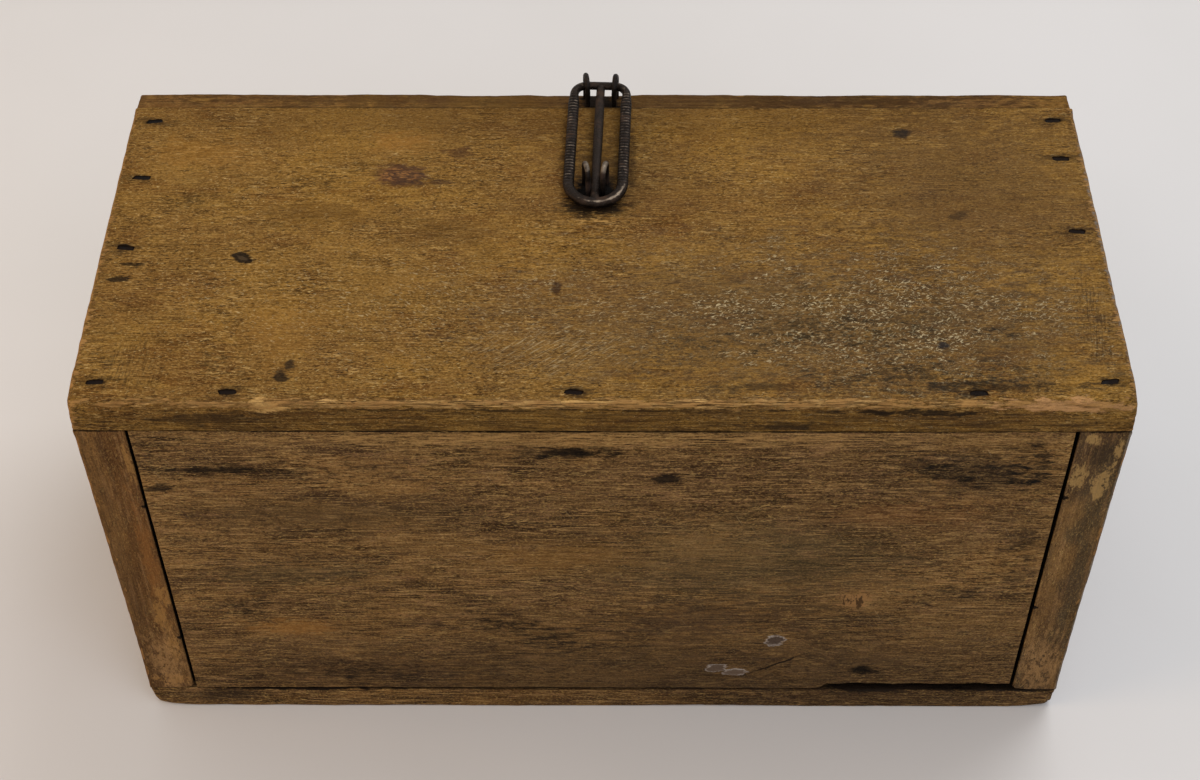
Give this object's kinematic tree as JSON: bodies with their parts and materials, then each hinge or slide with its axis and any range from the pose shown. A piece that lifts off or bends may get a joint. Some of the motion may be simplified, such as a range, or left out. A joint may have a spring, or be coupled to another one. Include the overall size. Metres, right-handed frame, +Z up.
{
  "type": "painted wooden box",
  "caption": "Old painted wooden box, nailed from boards, with a hinged rear lid held shut by an oblong iron hasp ring that drops over wire staples.",
  "frame": {"origin": "middle of the underside, lid included, with the box lying as in the picture", "axes": "+X along the length to the viewer's right, +Y from the near panel to the lid at the rear, +Z up"},
  "size_m": [0.406, 0.1836, 0.222],
  "materials": {
    "painted_wood": "worn ochre paint",
    "panel_wood": "worn ochre paint, browned",
    "nail_iron": "rusted",
    "wire_iron": "dark, rubbed bright",
    "hasp_iron": "dark, worn",
    "hinge_iron": "dark, rusted"
  },
  "bodies": {
    "box": {"top_board": "painted_wood", "base_board": "painted_wood", "left_end_board": "painted_wood", "right_end_board": "painted_wood", "front_panel": "panel_wood", "top_left_nails": "nail_iron", "top_right_nails": "nail_iron", "top_front_nails": "nail_iron", "base_left_nails": "nail_iron", "base_right_nails": "nail_iron", "base_front_nails": "nail_iron", "left_end_nails": "nail_iron", "right_end_nails": "nail_iron", "left_catch_staple": "wire_iron", "right_catch_staple": "wire_iron", "left_hinge_base_leaf": "hinge_iron", "right_hinge_base_leaf": "hinge_iron", "left_hinge_pin": "hinge_iron", "right_hinge_pin": "hinge_iron", "left_base_leaf_screws": "hinge_iron", "right_base_leaf_screws": "hinge_iron"},
    "lid": {"lid_board": "painted_wood", "left_hinge_lid_leaf": "hinge_iron", "right_hinge_lid_leaf": "hinge_iron", "left_lid_leaf_screws": "hinge_iron", "right_lid_leaf_screws": "hinge_iron", "left_hasp_staple": "wire_iron", "right_hasp_staple": "wire_iron"},
    "hasp": {"hasp_link": "hasp_iron"}
  },
  "joints": [
    {"name": "lid_hinge", "type": "hinge", "parent": "box", "child": "lid", "pos_m": [0, 0.0888, 0.0034], "axis": [-1, 0, 0], "range_deg": [0, 90]},
    {"name": "hasp_swing", "type": "hinge", "parent": "lid", "child": "hasp", "pos_m": [-0.001, 0.0858, 0.2142], "axis": [-0.9994, 0.0349, 0], "range_deg": [0, 180]}
  ]
}
